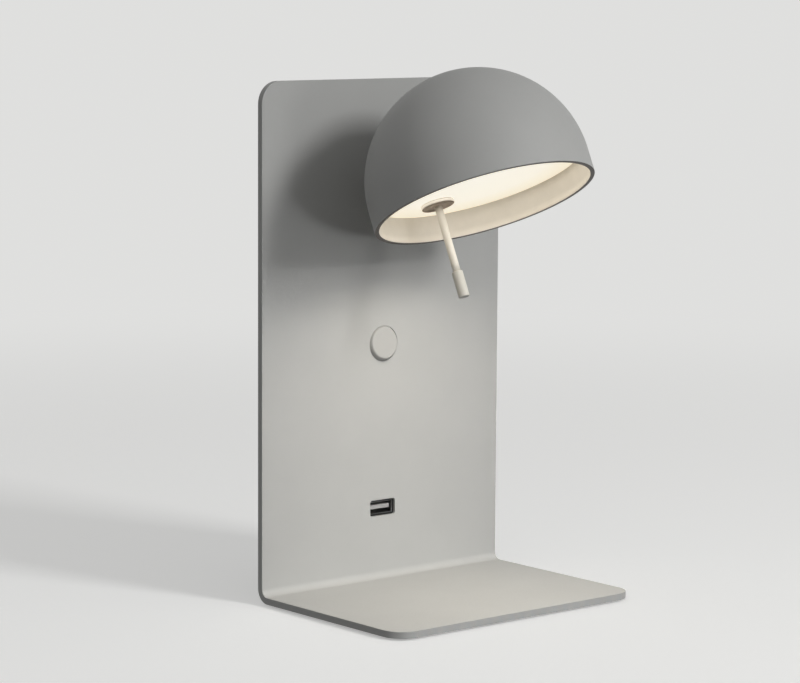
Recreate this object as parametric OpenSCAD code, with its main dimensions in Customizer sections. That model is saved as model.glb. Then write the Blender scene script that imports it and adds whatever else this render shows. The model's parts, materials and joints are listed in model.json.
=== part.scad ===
// Wall lamp with a shelf, a USB socket, a rocker button and a swivelling dome head.
// Millimetres. The origin is the middle of the wall bracket's back face, on the wall.
// +X is right as seen from the room, -Y points into the room, +Z is up.

/* [Plate and shelf] */
// Width of the bent sheet
plate_w = 140; // [120:1:180]
// Height of the plate above the shelf's top face
plate_rise = 230; // [222:1:280]
// Depth of the shelf in front of the plate
shelf_depth = 95; // [80:1:140]
// Thickness of the bent sheet
sheet_t = 3; // [2:0.1:4]
// Inner radius of the bend between plate and shelf
bend_r = 3.5; // [2:0.1:6]
// Radius of the four free corners
corner_r = 10; // [4:0.5:16]

/* [Wall box] */
// Distance from the wall to the back of the plate
standoff = 25; // [24:0.5:32]
// Width of the wall box
box_w = 92; // [88:1:100]
// Height of the box's top above the swivel axis
box_above = 28; // [20:0.5:40]
// Depth of the box's underside below the middle of the USB socket
box_below = 14.7; // [12:0.1:22]
// Sheet thickness of the wall box
box_t = 1.2; // [0.8:0.1:1.6]
// Outer corner radius of the wall box
box_r = 4; // [2:0.5:8]

/* [Wall bracket] */
// Height of the wall bracket
bracket_h = 100; // [96:1:130]
// Sheet thickness of the wall bracket
bracket_t = 1.5; // [1:0.1:2]
// Reach of the bracket's side flanges from the wall
bracket_reach = 10; // [9:0.5:14]
// Spacing of the wall screw holes, side to side
wall_hole_dx = 76; // [70:1:80]
// Spacing of the wall screw holes, up and down
wall_hole_dz = 70; // [60:1:74]
// Diameter of the wall screw holes
wall_hole_d = 5.2; // [4:0.1:6]
// Height of the side screws above and below the bracket's middle
side_screw_dz = 43; // [41:0.5:44]
// Height of the cable entry above the bracket's middle
cable_z = 34; // [30:1:36]
// Bore of the cable grommet
cable_d = 8; // [6:0.5:9]

/* [Shade] */
// Outer radius of the dome
shade_r = 50; // [49:0.5:51]
// Length of the straight skirt below the dome
skirt_h = 10.5; // [9:0.5:14]
// Wall of the dome
shade_t = 1.5; // [1:0.1:1.8]
// Distance of the dome's centre in front of the plate
shade_out = 64.4; // [64:0.1:68]
// Height of the dome's centre above the shelf's top face
shade_up = 187; // [184:0.1:190]
// Lean of the dome's axis from the vertical at rest, in degrees
shade_lean = 25; // [22:0.5:28]

/* [Head joint] */
// Distance of the tilt pin in front of the plate
pivot_out = 8; // [7.8:0.1:8.2]
// Height of the tilt pin above the shelf's top face
pivot_up = 182; // [180:0.5:184]
// Diameter of the tilt pin
pin_d = 4; // [3:0.1:4.2]
// Radius of the fork's ears and of the lug's eye
ear_r = 3.7; // [3.5:0.1:3.8]
// Thickness of each fork ear
ear_t = 3; // [2.5:0.1:3.5]
// Thickness of the lug between the ears
lug_t = 4.6; // [4:0.1:5]
// Height of the lug's arm
lug_h = 7.2; // [6.4:0.1:7.2]
// Thickness of each friction washer
friction_t = 0.3; // [0.2:0.05:0.5]
// Outer diameter of the swivel spindle
spindle_d = 10; // [9:0.1:11]
// Bore of the swivel spindle
spindle_bore = 6; // [4:0.1:7]
// Thickness of the fork's round base
fork_base_t = 2.2; // [2:0.1:2.3]
// Diameter of the bush flange on the plate
bush_flange_d = 18; // [16:0.5:19]
// Thickness of the bush flange on the plate
bush_flange_t = 1.5; // [1:0.1:1.6]

/* [Light] */
// Depth of the diffuser's lower face inside the rim
diffuser_recess = 11.9; // [10.5:0.1:13]
// Thickness of the diffuser
diffuser_t = 2.5; // [2:0.1:3]
// Wall of the diffuser's upstand
upstand_t = 1.6; // [1:0.1:1.8]
// Radius of the carrier plate
carrier_r = 43.8; // [43:0.1:44]
// Thickness of the carrier plate
carrier_t = 3; // [2:0.1:3.5]
// Height of the carrier's cooling ribs
rib_h = 7; // [3:0.5:8]
// Radius of the light board
board_r = 34.5; // [34:0.1:35]
// Thickness of the light board
board_t = 1.6; // [1:0.1:2]

/* [Stick handle] */
// Distance of the stick from the dome's axis, towards the wall
stick_in = 29.7; // [29:0.1:30.2]
// Diameter of the stick's collar
collar_d = 15.1; // [12:0.1:18]
// Drop of the collar below the diffuser
collar_drop = 1.65; // [1:0.05:3]
// Diameter of the stick
stick_d = 3.5; // [3.2:0.1:4.5]
// Length of the bare stick from collar to knob
stick_len = 31; // [20:0.5:40]
// Diameter of the knob
knob_d = 5; // [4.8:0.1:8]
// Length of the knob
knob_len = 11.9; // [8:0.1:16]

/* [Button] */
// Diameter of the rocker button's face
button_d = 14.4; // [13:0.2:16.8]
// Height of the button above the shelf's top face
button_up = 109; // [107:0.5:111]
// Proud height of the middle of the button's face in front of the plate
button_proud = 1.1; // [0.6:0.1:1.4]
// Angle that the button rocks through
rock_angle = 12; // [8:1:16]
// Gap between the button and its hole
button_gap = 0.3; // [0.2:0.05:0.5]
// Wire of the button's spring
spring_wire = 0.3; // [0.2:0.05:0.4]

/* [USB socket] */
// Height of the socket's middle above the shelf's top face
usb_up = 32.7; // [31:0.1:36]
// Width of the opening in the plate
usb_cut_w = 14.8; // [14.4:0.1:16]
// Height of the opening in the plate
usb_cut_h = 7.5; // [7.2:0.1:8.4]
// Depth of the socket's mouth behind the plate's front
usb_recess = 1.3; // [0.5:0.1:1.5]

/* [Driver] */
// Width of the driver
driver_w = 42; // [30:1:48]
// Depth of the driver
driver_d = 16; // [12:0.5:18]
// Free space above and below the driver's tabs
driver_gap = 2.3; // [1:0.1:5]

/* [Hidden] */
$fn = 96;

// Clearances, the overshoot of a cut and the bite between shapes of one piece
fit_gap = 0.05;
screw_gap = 0.2;
slip_gap = 0.3;
cut = 1;
bite = 0.01;

// Places of the main faces
back_y = -standoff;
front_y = back_y - sheet_t;
web_y = back_y + box_t;
shelf_z = -plate_rise / 2;
plate_top = plate_rise / 2;
button_z = shelf_z + button_up;
usb_z = shelf_z + usb_up;
pivot_y = front_y - pivot_out;
pivot_z = shelf_z + pivot_up;

// Wall box and wall bracket
box_top = pivot_z + box_above;
box_foot = usb_z - box_below;
box_h = box_top - box_foot;
box_z = (box_top + box_foot) / 2;
box_wall_gap = slip_gap;
bracket_w = box_w - 2 * box_t - 2 * slip_gap;
side_screw_edge = 4;
side_screw_y = side_screw_edge - bracket_reach;

// Screw sizes: thread, head diameter and head height
m4 = [4, 7, 2.2];
m3 = [3, 5.5, 1.8];
m2 = [2, 3.6, 1.2];

// Weld studs between plate and wall box
stud_len = 7;
stud_inset = 9;
stud_x = box_w / 2 - stud_inset;
stud_z = [box_foot + stud_inset, box_top - stud_inset];
washer_d = 9;
washer_t = 0.8;
nut_w = 7;
nut_t = 3.2;

// Cable grommet, terminal block and earth stud
grommet_wall = 2.5;
grommet_lip = 2;
grommet_lip_t = 1.7;
terminal_size = [14, 12, 24];
terminal_x = -24;
terminal_z = 34;
terminal_pitch = 8;
terminal_well = [2.1, 5];
terminal_entry = [1.6, 4];
terminal_core = 3;
terminal_screw_sunk = 1.5;
screw_slot = [0.7, 0.8];
earth_x = 24;
earth_len = 9;

// USB receptacle
usb_bore = [12.5, 5.12];
usb_wall = 0.3;
usb_len = 14;
usb_back_t = 1.5;
usb_cut_r = 1.2;
usb_box_gap = 0.5;
usb_bezel_in = 1;
usb_bezel_gap = 0.1;
usb_shell_w = usb_bore[0] + 2 * usb_wall;
usb_shell_h = usb_bore[1] + 2 * usb_wall;
usb_mouth_y = front_y + usb_recess;
usb_tongue_size = [11.1, 8.6, 1.84];
usb_tongue_drop = 1.4;
usb_tongue_in = 0.9;
usb_tongue_z = usb_z + usb_bore[1] / 2 - usb_tongue_drop - usb_tongue_size[2] / 2;
usb_tongue_y = usb_mouth_y + usb_tongue_in;
contact_xs = [-3.5, -1, 1, 3.5];
contact_w = 1;
contact_t = 0.2;
usb_back_y = usb_mouth_y + usb_len;
usb_board_w = 32;
usb_board_t = 1.6;
usb_board_z = usb_z - usb_shell_h / 2;
usb_holder_t = 2;
usb_board_tail = 4.5;
usb_board_y = [web_y + usb_holder_t + slip_gap, usb_back_y + usb_board_tail];
usb_holder_w = 44;
usb_screw_x = usb_holder_w / 2 - 4;
usb_holder_top = usb_z + usb_shell_h / 2 + 5;
board_screw_inset = 3;
board_screw_at = [usb_board_w / 2 - board_screw_inset, usb_board_y[1] - board_screw_inset];
capacitor_r = 3;
capacitor_h = 7.5;
chip_body = [5, 4.5, 1.6];
parts_gap = 1.2;

// Rocker button on two trunnions: its side is part of a ball about the rocking axis, so that the
// gap to the flared hole stays the same while it rocks
rock_tilt = rock_angle / 2;
trunnion_r = 0.9;
trunnion_gap = 0.1;
trunnion_in = 0.9;
rock_y = back_y + trunnion_gap + trunnion_r;
face_reach = rock_y - front_y + button_proud;
button_ball_r = norm([button_d / 2, face_reach]);
button_skirt_back = 1.5;
button_side_steps = 16;
button_hole_front_r = ball_at(rock_y - front_y) + button_gap;
button_hole_back_r = ball_at(rock_y - back_y) + slip_gap + button_gap / 2;
button_wall = 1.5;
button_post_r = 3.2;
button_post_back = 5;

// Guide that carries the trunnions in open seats against the back of the plate
guide_bore_r = button_ball_r + 2 * slip_gap;
trunnion_end = guide_bore_r + trunnion_in;
guide_collar_r = trunnion_end + slip_gap;
guide_wall = 1.6;
guide_flange_t = 2;
guide_depth = 8.8;
guide_floor_t = 2;
guide_r = guide_collar_r + guide_wall;
guide_screw_x = guide_r + 3.6;
guide_ear_r = 4;
guide_flange_h = 10;
guide_floor_y = web_y + guide_depth - guide_floor_t;

// Switch with a round trough about the rocking axis for the plunger's tip
switch_size = [13, 7.5, 13];
switch_y = web_y + guide_depth;
trough_deep = 1.5;
trough_r = switch_y - rock_y + trough_deep;
plunger_r = 1.5;
plunger_in = 1;
plunger_ball = trough_r - fit_gap - plunger_r;
plunger_swing = plunger_r + trough_r * tan(rock_tilt) + slip_gap;
blade_x = 3.5;
blade_size = [0.8, 4, 4];
spring_room = 0.25;
spring_r = plunger_r - spring_room;
spring_turns = 7;
spring_rings = 8;
spring_sides = 6;
spring_seat = -2.2;
spring_front = spring_seat + spring_wire / 2 + 2 * bite;
spring_back = plunger_in - spring_wire / 2 - 2 * bite;

// Driver between the button's guide and the socket's holder
driver_tab = [12, 7.2, 2.5];
driver_room = button_z - guide_r - usb_holder_top;
driver_h = driver_room - 2 * (driver_gap + driver_tab[1]);
driver_z = usb_holder_top + driver_room / 2;
driver_screw_dz = (driver_h + driver_tab[1]) / 2;
driver_r = 2;

// Swivel spindle
bush_wall = 1;
bush_r = spindle_d / 2 + fit_gap + bush_wall;
bush_hole_r = bush_r + fit_gap;
fork_back_y = front_y - bush_flange_t - fit_gap;
fork_front_y = fork_back_y - fork_base_t;
fork_base_r = bush_flange_d / 2 - 1;
ear_in = lug_t / 2 + friction_t + fit_gap;
ear_out = ear_in + ear_t;
stop_washer_t = 1;
wave_washer_t = 0.8;
spindle_nut_t = 4;
spindle_nut_d = 17;
stop_washer_r = spindle_d / 2 + 3;
stop_pin_r = 1.25;
stop_pin_gap = 0.4;
stop_reach = stop_washer_r + stop_pin_r + stop_pin_gap;
stop_tab_w = 3;
stop_washer_y = web_y + fit_gap;
wave_washer_y = stop_washer_y + stop_washer_t;
spindle_nut_y = wave_washer_y + wave_washer_t;
thread_end = 1.5;
spindle_end_y = spindle_nut_y + spindle_nut_t + thread_end;
pin_head_r = pin_d / 2 + 1.4;
pin_head_t = 1.6;
pin_socket_r = 1.2;
pin_nut_w = 6.6;
pin_nut_t = 2.4;
pin_end = 0.5;

// The shade's own frame: its origin is the dome's centre, +Z runs out of the crown and +Y towards
// the wall. pin_in and pin_up are the tilt pin's place in that frame.
shade_y = front_y - shade_out;
shade_z = shelf_z + shade_up;
pin_dy = pivot_y - shade_y;
pin_dz = pivot_z - shade_z;
pin_in = pin_dy * cos(shade_lean) - pin_dz * sin(shade_lean);
pin_up = pin_dy * sin(shade_lean) + pin_dz * cos(shade_lean);
shade_in_r = shade_r - shade_t;
carrier_top = pin_up - lug_h / 2;
carrier_z = carrier_top - carrier_t;
board_z = carrier_z - board_t;
diffuser_z = diffuser_recess - skirt_h;
diffuser_r = shade_in_r - 0.6;
upstand_r = carrier_r + screw_gap;
upstand_top = carrier_z + carrier_t / 2;

// Bosses under the dome and the screws that hold the carrier and the board
boss_r = 3.5;
boss_in = 38;
boss_angles = [-90, 30, 150];
boss_screw_depth = 6;
blind_end = 1;
board_screw_in = 17;
board_screw_angles = [90, 210, 330];
rib_ys = [-25, -17, -9, -1, 7];
rib_w = 2;
rib_span_r = 35;

// Lug foot on the carrier
foot_in = 11;
foot_out = 8.5;
foot_y = [stick_in - foot_in, stick_in + foot_out];
foot_w = 20;
foot_t = 3;
foot_edge = 3.3;
lug_screw_x = foot_w / 2 - foot_edge;
lug_screw_y = [foot_y[0] + foot_edge, foot_y[1] - foot_edge];
slot_gap = [0.5, 0.7];
slot_w = lug_t + 2 * slot_gap[0];
slot_h = lug_h + 2 * slot_gap[1];

// Stick handle
stick_thread_d = 3;
collar_sleeve_r = 3;
stick_depth = 5;
sleeve_len = carrier_z - diffuser_z + collar_drop;
knob_floor = 3;
knob_z = diffuser_z - collar_drop - stick_len - knob_len;

// Light chips in rings: radius and count
chip_rings = [[8, 6], [25, 20]];
chip_size = [3, 3, 0.7];

plate_grey = [0.80, 0.79, 0.76];
shade_grey = [0.62, 0.62, 0.61];
steel = [0.72, 0.73, 0.74];
dark_steel = [0.42, 0.42, 0.43];
brass = [0.80, 0.66, 0.36];
white_plastic = [0.92, 0.91, 0.88];
black_plastic = [0.10, 0.10, 0.11];

// ---- shared shapes ----

// A cylinder along Y from y0 to y1
module rod_y(x, z, r, y0, y1) {
    translate([x, y1, z])
        rotate([90, 0, 0])
            cylinder(r = r, h = y1 - y0);
}

// A flat shape drawn in X and Z, thickened from y0 to y1
module slab_y(y0, y1) {
    translate([0, y1, 0])
        rotate([90, 0, 0])
            linear_extrude(y1 - y0)
                children();
}

// A cylinder along X from x0 to x1
module rod_x(x0, x1, y, z, r) {
    translate([x0, y, z])
        rotate([0, 90, 0])
            cylinder(r = r, h = x1 - x0);
}

// A rectangle with round corners, drawn flat about the origin
module round_rect(w, h, r) {
    square([w - 2 * r, h], center = true);
    square([w, h - 2 * r], center = true);
    for (sx = [-1, 1])
        for (sz = [-1, 1])
            translate([sx * (w / 2 - r), sz * (h / 2 - r)])
                circle(r);
}

// What a round corner of radius r removes, with the corner at the origin, filling x < 0 and y < 0
module corner_waste(r) {
    difference() {
        translate([-r, -r])
            square(r + cut);
        translate([-r, -r])
            circle(r);
    }
}

// A pan-head screw whose seat is at z = 0: head above, shank below
module pan_screw(size, len) {
    difference() {
        cylinder(d = size[1], h = size[2]);
        translate([0, 0, size[2] * 0.45])
            cylinder(d = size[0], h = size[2], $fn = 6);
    }
    translate([0, 0, -len])
        cylinder(d = size[0], h = len + bite);
}

// A hexagon nut along +Z with its foot at z = 0
module hex_nut(bore, across, t) {
    difference() {
        cylinder(d = across / cos(30), h = t, $fn = 6);
        translate([0, 0, -cut])
            cylinder(r = bore / 2 + fit_gap, h = t + 2 * cut);
    }
}

// A flat washer along +Z with its foot at z = 0
module flat_washer(bore, outer, t) {
    difference() {
        cylinder(d = outer, h = t);
        translate([0, 0, -cut])
            cylinder(r = bore / 2 + fit_gap, h = t + 2 * cut);
    }
}

// Turns +Z shapes so that they stand on a face and point away from the plate, along +Y
module face_wall(x, y, z) {
    translate([x, y, z])
        rotate([-90, 0, 0])
            children();
}

// Puts a shape drawn in the shade's own frame in its place on the lamp
module in_shade() {
    translate([0, shade_y, shade_z])
        rotate([-shade_lean, 0, 0])
            children();
}

// Repeats a shape at polar places around the shade's axis
module around(radius, angles) {
    for (a = angles)
        translate([radius * cos(a), radius * sin(a), 0])
            children();
}

// ---- plate and wall box ----

module shelf_profile() {
    difference() {
        translate([front_y - shelf_depth, shelf_z - sheet_t])
            square([shelf_depth + sheet_t, plate_rise + sheet_t]);
        difference() {
            translate([front_y - shelf_depth - cut, shelf_z])
                square([shelf_depth + cut, plate_rise + cut]);
            translate([front_y, shelf_z])
                mirror([0, 1])
                    corner_waste(bend_r);
        }
        translate([back_y, shelf_z - sheet_t])
            mirror([0, 1])
                corner_waste(bend_r + sheet_t);
    }
}

// The button's hole: a cone that flares towards the back of the plate
module button_hole() {
    flare = (button_hole_back_r - button_hole_front_r) / sheet_t;
    translate([0, back_y + cut, button_z])
        rotate([90, 0, 0])
            cylinder(r1 = button_hole_back_r + flare * cut, r2 = button_hole_front_r - flare * cut,
                h = sheet_t + 2 * cut);
}

module shelf_plate() {
    color(plate_grey)
        difference() {
            rotate([90, 0, 90])
                linear_extrude(plate_w, center = true)
                    shelf_profile();
            for (side = [0, 1])
                mirror([side, 0, 0]) {
                    slab_y(front_y - cut, back_y + cut)
                        translate([plate_w / 2, plate_top])
                            corner_waste(corner_r);
                    translate([plate_w / 2, front_y - shelf_depth, shelf_z - sheet_t - cut])
                        linear_extrude(sheet_t + 2 * cut)
                            mirror([0, 1])
                                corner_waste(corner_r);
                }
            button_hole();
            rod_y(0, pivot_z, bush_hole_r, front_y - cut, back_y + cut);
            slab_y(front_y - cut, back_y + cut)
                translate([0, usb_z])
                    round_rect(usb_cut_w, usb_cut_h, usb_cut_r);
        }
}

module rear_box() {
    color(plate_grey)
        difference() {
            slab_y(back_y, -box_wall_gap)
                translate([0, box_z])
                    round_rect(box_w, box_h, box_r);
            slab_y(web_y, cut)
                translate([0, box_z])
                    round_rect(box_w - 2 * box_t, box_h - 2 * box_t, box_r - box_t);
            rod_y(0, button_z, guide_collar_r + slip_gap, back_y - cut, web_y + cut);
            rod_y(0, pivot_z, bush_hole_r, back_y - cut, web_y + cut);
            slab_y(back_y - cut, web_y + cut)
                translate([0, usb_z])
                    round_rect(usb_cut_w + 2 * usb_box_gap, usb_cut_h + 2 * usb_box_gap, usb_cut_r);
            for (sx = [-1, 1]) {
                for (z = stud_z)
                    rod_y(sx * stud_x, z, m4[0] / 2 + screw_gap, back_y - cut, web_y + cut);
                rod_y(sx * guide_screw_x, button_z, m3[0] / 2 + fit_gap, back_y - cut, web_y + cut);
                rod_y(sx * usb_screw_x, usb_z, m3[0] / 2 + fit_gap, back_y - cut, web_y + cut);
                rod_y(0, driver_z + sx * driver_screw_dz, m3[0] / 2 + fit_gap, back_y - cut, web_y + cut);
                for (sz = [-1, 1])
                    rod_x(sx * box_w / 2 - 2 * box_t, sx * box_w / 2 + 2 * box_t,
                        side_screw_y, sz * side_screw_dz, m4[0] / 2 + screw_gap);
            }
        }
}

module wall_bracket() {
    color(steel)
        difference() {
            translate([-bracket_w / 2, -bracket_reach, -bracket_h / 2])
                cube([bracket_w, bracket_reach, bracket_h]);
            translate([-bracket_w / 2 + bracket_t, -bracket_reach - cut, -bracket_h / 2 - cut])
                cube([bracket_w - 2 * bracket_t, bracket_reach - bracket_t + cut, bracket_h + 2 * cut]);
            for (sx = [-1, 1])
                for (sz = [-1, 1]) {
                    rod_y(sx * wall_hole_dx / 2, sz * wall_hole_dz / 2, wall_hole_d / 2,
                        -bracket_t - cut, cut);
                    rod_x(sx * bracket_w / 2 - 2 * bracket_t, sx * bracket_w / 2 + 2 * bracket_t,
                        side_screw_y, sz * side_screw_dz, m4[0] / 2 + fit_gap);
                }
            rod_y(0, cable_z, cable_d / 2 + grommet_wall + fit_gap, -bracket_t - cut, cut);
        }
}

module side_screws() {
    color(steel)
        for (side = [0, 1])
            mirror([side, 0, 0])
                for (sz = [-1, 1])
                    translate([box_w / 2, side_screw_y, sz * side_screw_dz])
                        rotate([0, 90, 0])
                            pan_screw(m4, box_t + slip_gap + bracket_t + 2);
}

module weld_studs() {
    color(steel)
        for (sx = [-1, 1])
            for (z = stud_z)
                rod_y(sx * stud_x, z, m4[0] / 2, back_y, back_y + stud_len);
}

module stud_washers() {
    color(steel)
        for (sx = [-1, 1])
            for (z = stud_z)
                face_wall(sx * stud_x, web_y, z)
                    flat_washer(m4[0], washer_d, washer_t);
}

module stud_nuts() {
    color(steel)
        for (sx = [-1, 1])
            for (z = stud_z)
                face_wall(sx * stud_x, web_y + washer_t, z)
                    hex_nut(m4[0], nut_w, nut_t);
}

// ---- mains side ----

module cable_grommet() {
    color(black_plastic)
        difference() {
            union() {
                rod_y(0, cable_z, cable_d / 2 + grommet_wall, -bracket_t, 0);
                rod_y(0, cable_z, cable_d / 2 + grommet_wall + grommet_lip,
                    -bracket_t - grommet_lip_t, -bracket_t);
            }
            rod_y(0, cable_z, cable_d / 2, -bracket_t - grommet_lip_t - cut, cut);
        }
}

module led_driver() {
    color(white_plastic)
        difference() {
            union() {
                slab_y(web_y, web_y + driver_d)
                    translate([0, driver_z])
                        round_rect(driver_w, driver_h, driver_r);
                slab_y(web_y, web_y + driver_tab[2])
                    translate([0, driver_z])
                        round_rect(driver_tab[0], driver_h + 2 * driver_tab[1], driver_r);
            }
            for (sz = [-1, 1])
                rod_y(0, driver_z + sz * driver_screw_dz, m3[0] / 2 + screw_gap,
                    web_y - cut, web_y + driver_tab[2] + cut);
        }
}

module driver_screws() {
    color(steel)
        for (sz = [-1, 1])
            face_wall(0, web_y + driver_tab[2], driver_z + sz * driver_screw_dz)
                pan_screw(m3, driver_tab[2] + box_t - fit_gap);
}

module terminal_block() {
    color(white_plastic)
        difference() {
            translate([terminal_x - terminal_size[0] / 2, web_y, terminal_z - terminal_size[2] / 2])
                cube(terminal_size);
            for (i = [-1, 0, 1]) {
                rod_y(terminal_x, terminal_z + i * terminal_pitch, terminal_well[0],
                    web_y + terminal_size[1] - terminal_well[1], web_y + terminal_size[1] + cut);
                rod_x(terminal_x - terminal_size[0] / 2 - cut, terminal_x - terminal_core,
                    web_y + terminal_entry[1], terminal_z + i * terminal_pitch, terminal_entry[0]);
                rod_x(terminal_x + terminal_core, terminal_x + terminal_size[0] / 2 + cut,
                    web_y + terminal_entry[1], terminal_z + i * terminal_pitch, terminal_entry[0]);
            }
        }
}

module terminal_screws() {
    head_y = web_y + terminal_size[1] - terminal_screw_sunk;
    color(brass)
        for (i = [-1, 0, 1])
            difference() {
                rod_y(terminal_x, terminal_z + i * terminal_pitch, terminal_well[0] - fit_gap,
                    web_y + terminal_size[1] - terminal_well[1], head_y);
                translate([terminal_x - terminal_well[0] - cut, head_y - screw_slot[1],
                    terminal_z + i * terminal_pitch - screw_slot[0] / 2])
                    cube([2 * (terminal_well[0] + cut), screw_slot[1] + cut, screw_slot[0]]);
            }
}

module earth_stud() {
    color(brass)
        rod_y(earth_x, terminal_z, m4[0] / 2, web_y, web_y + earth_len);
}

module earth_nut() {
    color(brass)
        face_wall(earth_x, web_y, terminal_z)
            hex_nut(m4[0], nut_w, nut_t);
}

// ---- USB socket ----

module usb_shell() {
    color(steel)
        difference() {
            translate([-usb_shell_w / 2, usb_mouth_y, usb_z - usb_shell_h / 2])
                cube([usb_shell_w, usb_len, usb_shell_h]);
            translate([-usb_bore[0] / 2, usb_mouth_y - cut, usb_z - usb_bore[1] / 2])
                cube([usb_bore[0], usb_len + cut - usb_back_t, usb_bore[1]]);
        }
}

module usb_tongue() {
    color(white_plastic)
        union() {
            translate([-usb_tongue_size[0] / 2, usb_tongue_y, usb_tongue_z - usb_tongue_size[2] / 2])
                cube(usb_tongue_size);
            translate([-usb_bore[0] / 2 + fit_gap, usb_tongue_y + usb_tongue_size[1],
                usb_z - usb_bore[1] / 2 + fit_gap])
                cube([usb_bore[0] - 2 * fit_gap,
                    usb_back_y - usb_back_t - usb_tongue_y - usb_tongue_size[1],
                    usb_bore[1] - 2 * fit_gap]);
        }
}

module usb_contacts() {
    color(brass)
        for (x = contact_xs)
            translate([x - contact_w / 2, usb_tongue_y + usb_tongue_in,
                usb_tongue_z - usb_tongue_size[2] / 2 - contact_t])
                cube([contact_w, usb_tongue_size[1] - usb_tongue_in, contact_t]);
}

module usb_board() {
    color([0.10, 0.32, 0.18])
        difference() {
            translate([-usb_board_w / 2, usb_board_y[0], usb_board_z - usb_board_t])
                cube([usb_board_w, usb_board_y[1] - usb_board_y[0], usb_board_t]);
            for (sx = [-1, 1])
                translate([sx * board_screw_at[0], board_screw_at[1], usb_board_z - usb_board_t - cut])
                    cylinder(r = m2[0] / 2 + fit_gap, h = usb_board_t + 2 * cut);
        }
}

module usb_capacitor() {
    color([0.16, 0.20, 0.42])
        translate([usb_shell_w / 2 + parts_gap + capacitor_r, usb_board_y[0] + parts_gap + capacitor_r,
            usb_board_z])
            cylinder(r = capacitor_r, h = capacitor_h);
}

module usb_chip() {
    color(black_plastic)
        translate([-usb_shell_w / 2 - 2 * parts_gap - chip_body[0], usb_board_y[0] + parts_gap,
            usb_board_z])
            cube(chip_body);
}

// The bezel lines the opening in the plate; its flange lies in the wall box's opening, held between
// the plate and the holder
module usb_bezel() {
    flange = usb_box_gap - usb_bezel_gap;
    color(black_plastic)
        difference() {
            union() {
                slab_y(front_y + usb_bezel_in, web_y)
                    translate([0, usb_z])
                        round_rect(usb_cut_w - 2 * usb_bezel_gap, usb_cut_h - 2 * usb_bezel_gap,
                            usb_cut_r - usb_bezel_gap);
                slab_y(back_y, web_y)
                    translate([0, usb_z])
                        round_rect(usb_cut_w + 2 * flange, usb_cut_h + 2 * flange, usb_cut_r);
            }
            slab_y(front_y, web_y + cut)
                translate([0, usb_z])
                    square([usb_shell_w + 2 * fit_gap, usb_shell_h + 2 * fit_gap], center = true);
        }
}

module usb_holder() {
    color(white_plastic)
        difference() {
            union() {
                slab_y(web_y, web_y + usb_holder_t)
                    translate([-usb_holder_w / 2, usb_board_z - usb_board_t - usb_holder_t])
                        square([usb_holder_w, usb_holder_top - usb_board_z + usb_board_t + usb_holder_t]);
                translate([-usb_board_w / 2, web_y, usb_board_z - usb_board_t - usb_holder_t])
                    cube([usb_board_w, usb_board_y[1] - web_y, usb_holder_t]);
            }
            slab_y(web_y - cut, web_y + usb_holder_t + cut)
                translate([0, usb_z])
                    square([usb_shell_w + 2 * usb_box_gap, usb_shell_h + 2 * usb_box_gap], center = true);
            for (sx = [-1, 1]) {
                rod_y(sx * usb_screw_x, usb_z, m3[0] / 2 + screw_gap,
                    web_y - cut, web_y + usb_holder_t + cut);
                translate([sx * board_screw_at[0], board_screw_at[1],
                    usb_board_z - usb_board_t - usb_holder_t - cut])
                    cylinder(r = m2[0] / 2 + fit_gap, h = usb_holder_t + 2 * cut);
            }
        }
}

module usb_screws() {
    color(steel)
        for (sx = [-1, 1]) {
            face_wall(sx * usb_screw_x, web_y + usb_holder_t, usb_z)
                pan_screw(m3, usb_holder_t + box_t - fit_gap);
            translate([sx * board_screw_at[0], board_screw_at[1], usb_board_z])
                pan_screw(m2, usb_board_t + usb_holder_t - fit_gap);
        }
}

// ---- button and switch ----

// The seat of a trunnion: a round hole about the rocking axis, open towards the plate
module trunnion_seat(x0, x1) {
    rod_x(x0, x1, rock_y, button_z, trunnion_r + fit_gap);
    translate([x0, back_y - cut, button_z - trunnion_r - fit_gap])
        cube([x1 - x0, rock_y - back_y + cut, 2 * (trunnion_r + fit_gap)]);
}

module button_guide() {
    seat_end = guide_collar_r + trunnion_gap;
    color(white_plastic)
        difference() {
            union() {
                rod_y(0, button_z, guide_collar_r, back_y, web_y + bite);
                rod_y(0, button_z, guide_r, web_y, web_y + guide_depth);
                slab_y(web_y, web_y + guide_flange_t)
                    translate([0, button_z])
                        round_rect(2 * (guide_screw_x + guide_ear_r), guide_flange_h, guide_ear_r);
            }
            rod_y(0, button_z, guide_bore_r, back_y - cut, guide_floor_y);
            rod_y(0, button_z, plunger_swing, guide_floor_y - cut, web_y + guide_depth + cut);
            trunnion_seat(guide_bore_r - cut, seat_end);
            trunnion_seat(-seat_end, cut - guide_bore_r);
            for (sx = [-1, 1])
                rod_y(sx * guide_screw_x, button_z, m3[0] / 2 + screw_gap,
                    web_y - cut, web_y + guide_flange_t + cut);
        }
}

module guide_screws() {
    color(steel)
        for (sx = [-1, 1])
            face_wall(sx * guide_screw_x, web_y + guide_flange_t, button_z)
                pan_screw(m3, guide_flange_t + box_t - fit_gap);
}

module switch_body() {
    color(black_plastic)
        difference() {
            translate([-switch_size[0] / 2, switch_y, button_z - switch_size[2] / 2])
                cube(switch_size);
            rod_x(-plunger_r - slip_gap, plunger_r + slip_gap, rock_y, button_z, trough_r);
        }
}

module switch_blades() {
    color(brass)
        for (sx = [-1, 1])
            translate([sx * blade_x - blade_size[0] / 2, switch_y + switch_size[1],
                button_z - blade_size[2] / 2])
                cube(blade_size);
}

// The place of what rocks: the rocking axis, with the foot of the button rocked outwards
module rocked() {
    translate([0, rock_y, button_z])
        rotate([-rock_tilt, 0, 0])
            children();
}

// Radius of the button's ball at a distance in front of the rocking axis
function ball_at(reach) = sqrt(pow(button_ball_r, 2) - pow(reach, 2));

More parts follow.
